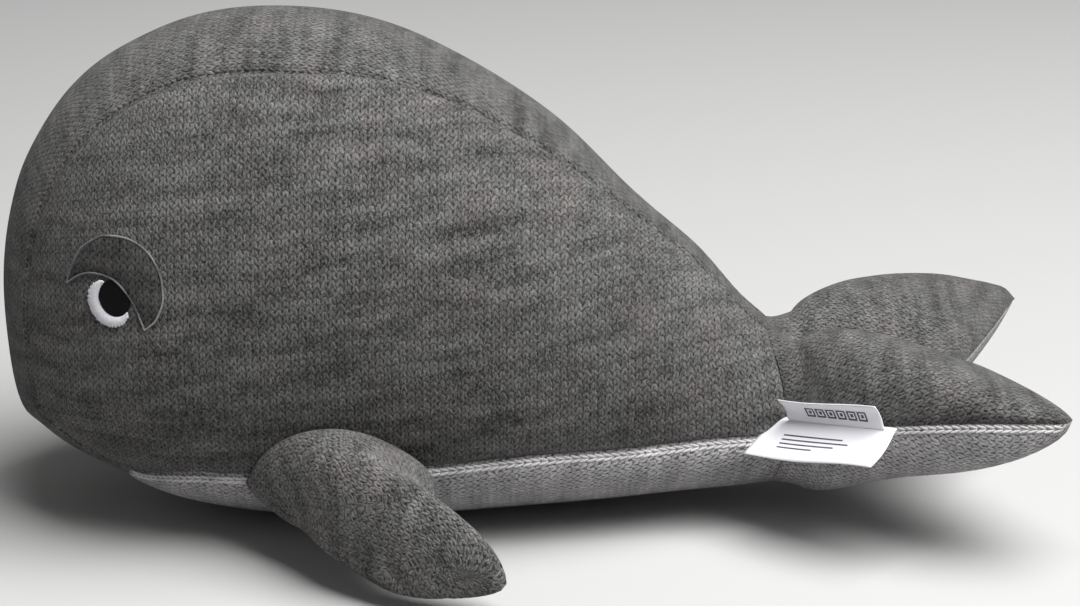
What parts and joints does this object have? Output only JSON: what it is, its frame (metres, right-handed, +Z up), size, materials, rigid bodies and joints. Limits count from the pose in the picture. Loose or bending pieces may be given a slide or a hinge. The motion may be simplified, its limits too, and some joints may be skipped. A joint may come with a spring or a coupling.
{
  "type": "plush whale",
  "caption": "Stuffed knit whale with a blunt rounded head, dark back, light belly, low side flippers, a two-lobed tail fluke, stitched eyes with heavy eyelids, and a folded care label.",
  "frame": {"origin": "on the surface the toy lies on, at the middle of its length and width", "axes": "+X to the tail, +Y to the toy's own right side, +Z up"},
  "size_m": [0.3526, 0.2134, 0.1714],
  "materials": {
    "dark_knit": "dark grey heather stocking-stitch knit",
    "light_knit": "light grey stocking-stitch knit",
    "filling": "loose polyester fibre",
    "lid_cloth": "smooth dark cloth",
    "grey_thread": "light grey thread, close zigzag stitches",
    "white_thread": "white embroidery thread, satin stitch",
    "black_thread": "black embroidery thread, satin stitch",
    "white_satin": "white satin ribbon"
  },
  "bodies": {
    "body": {"body_filling": "filling", "side_panel_left": "dark_knit", "side_panel_right": "dark_knit", "top_gusset": "dark_knit", "belly_panel": "light_knit", "eye_white_left": "white_thread", "eye_white_right": "white_thread", "pupil_left": "black_thread", "pupil_right": "black_thread", "eyelid_left": "lid_cloth", "eyelid_right": "lid_cloth", "eyelid_edging_left": "grey_thread", "eyelid_edging_right": "grey_thread"},
    "tail": {"fluke_filling_left": "filling", "fluke_filling_right": "filling", "fluke_top_panel": "dark_knit", "fluke_under_panel": "light_knit"},
    "flipper_left": {"flipper_filling_left": "filling", "flipper_top_left": "dark_knit", "flipper_under_left": "light_knit"},
    "flipper_right": {"flipper_filling_right": "filling", "flipper_top_right": "dark_knit", "flipper_under_right": "light_knit"},
    "label_upper": {"care_label_upper": "white_satin"},
    "label_lower": {"care_label_lower": "white_satin"}
  },
  "joints": [
    {"name": "tail_bend", "type": "hinge", "parent": "body", "child": "tail", "pos_m": [0.0912, 0, 0.0359], "axis": [0, -1, 0], "range_deg": [-15, 20], "stiffness_Nm_per_rad": 0.4},
    {"name": "flipper_left_bend", "type": "hinge", "parent": "body", "child": "flipper_left", "pos_m": [-0.0617, -0.05806, 0.02896], "axis": [-0.9975, 0.0361, -0.0605], "range_deg": [-20, 15], "stiffness_Nm_per_rad": 0.08},
    {"name": "flipper_right_bend", "type": "hinge", "parent": "body", "child": "flipper_right", "pos_m": [-0.0617, 0.05806, 0.02896], "axis": [0.9975, 0.0361, 0.0605], "range_deg": [-20, 15], "stiffness_Nm_per_rad": 0.08},
    {"name": "label_upper_fold", "type": "hinge", "parent": "tail", "child": "label_upper", "pos_m": [0.10674, -0.04663, 0.04192], "axis": [0.7009, -0.67, 0.2446], "range_deg": [-10, 60], "stiffness_Nm_per_rad": 0.0006},
    {"name": "label_lower_fold", "type": "hinge", "parent": "tail", "child": "label_lower", "pos_m": [0.10674, -0.04663, 0.04192], "axis": [0.7009, -0.67, 0.2446], "range_deg": [-20, 30], "stiffness_Nm_per_rad": 0.0006}
  ]
}
